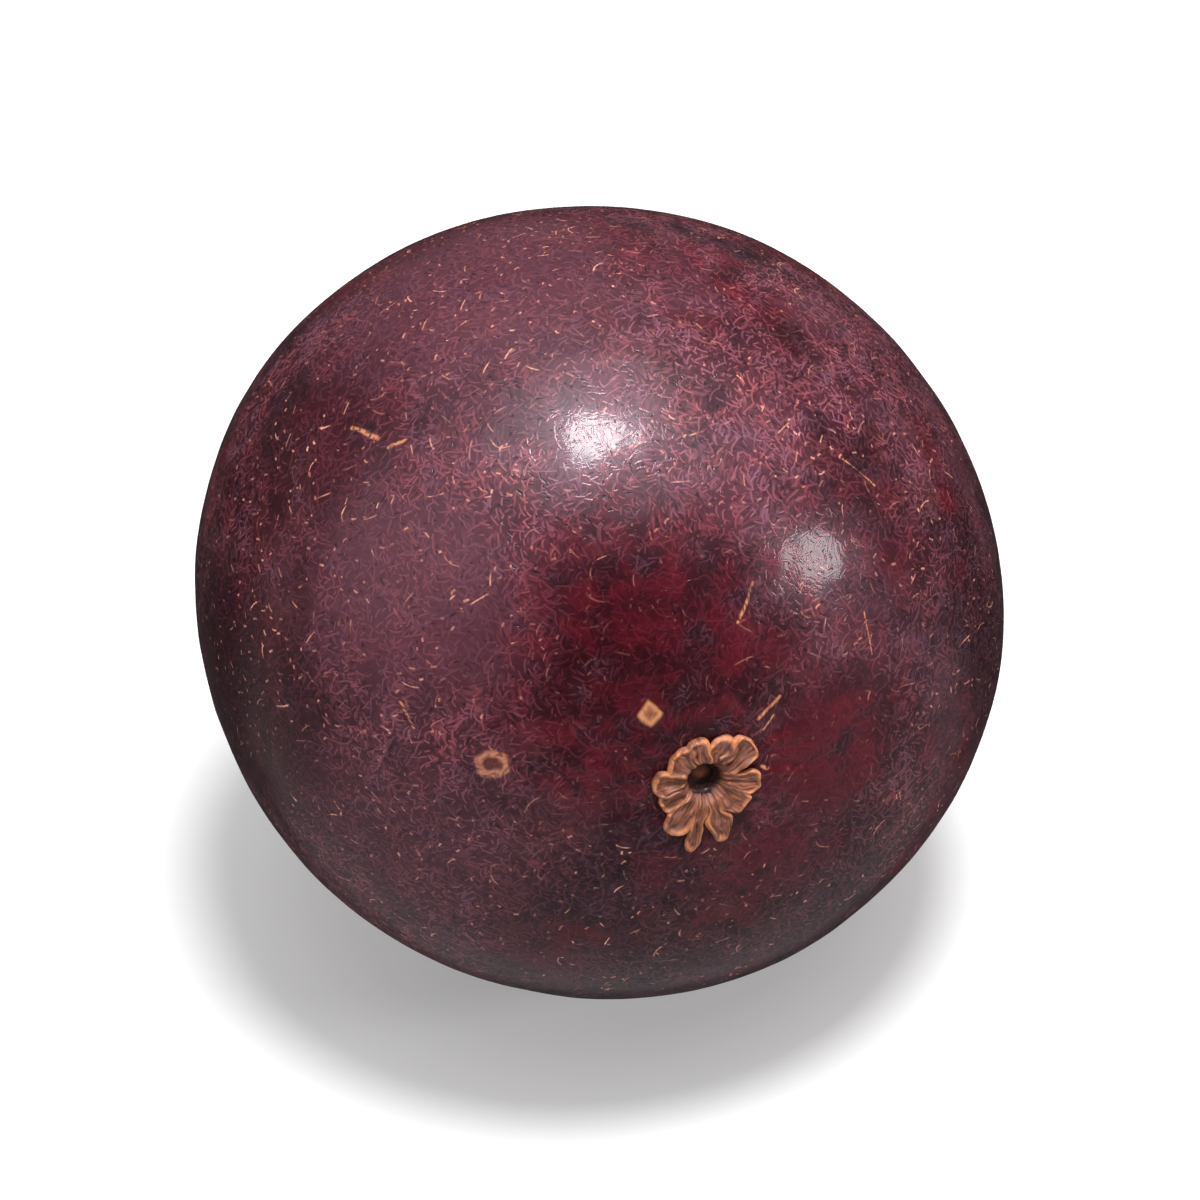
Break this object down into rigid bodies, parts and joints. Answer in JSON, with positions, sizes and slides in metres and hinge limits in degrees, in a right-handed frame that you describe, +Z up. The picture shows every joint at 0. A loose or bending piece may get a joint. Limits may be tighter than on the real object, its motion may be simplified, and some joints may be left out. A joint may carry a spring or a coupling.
{
  "type": "indian plum",
  "caption": "Ripe, nearly round indian plum berry lying on its side, with the crown of dried styles at its apex. Rests on a small flat spot.",
  "frame": {"origin": "on the surface that the fruit rests on, under the middle of its bounding box", "axes": "+Z up, -Z out of the flat spot that it rests on; the apex with the crown faces -Y and 14.4 degrees up, and X is its width"},
  "size_m": [0.024, 0.0228, 0.0237],
  "materials": {
    "skin": "waxy satin fruit skin, crimson and plum under a net of fine russet fibres",
    "dried_style": "dry, matte and wrinkled, orange-brown with paler rims"
  },
  "bodies": {
    "root": {"fruit": "skin", "style_left": "dried_style", "style_top": "dried_style", "style_upper_right": "dried_style", "style_right": "dried_style", "style_bottom": "dried_style", "style_lower_left": "dried_style"}
  },
  "joints": []
}
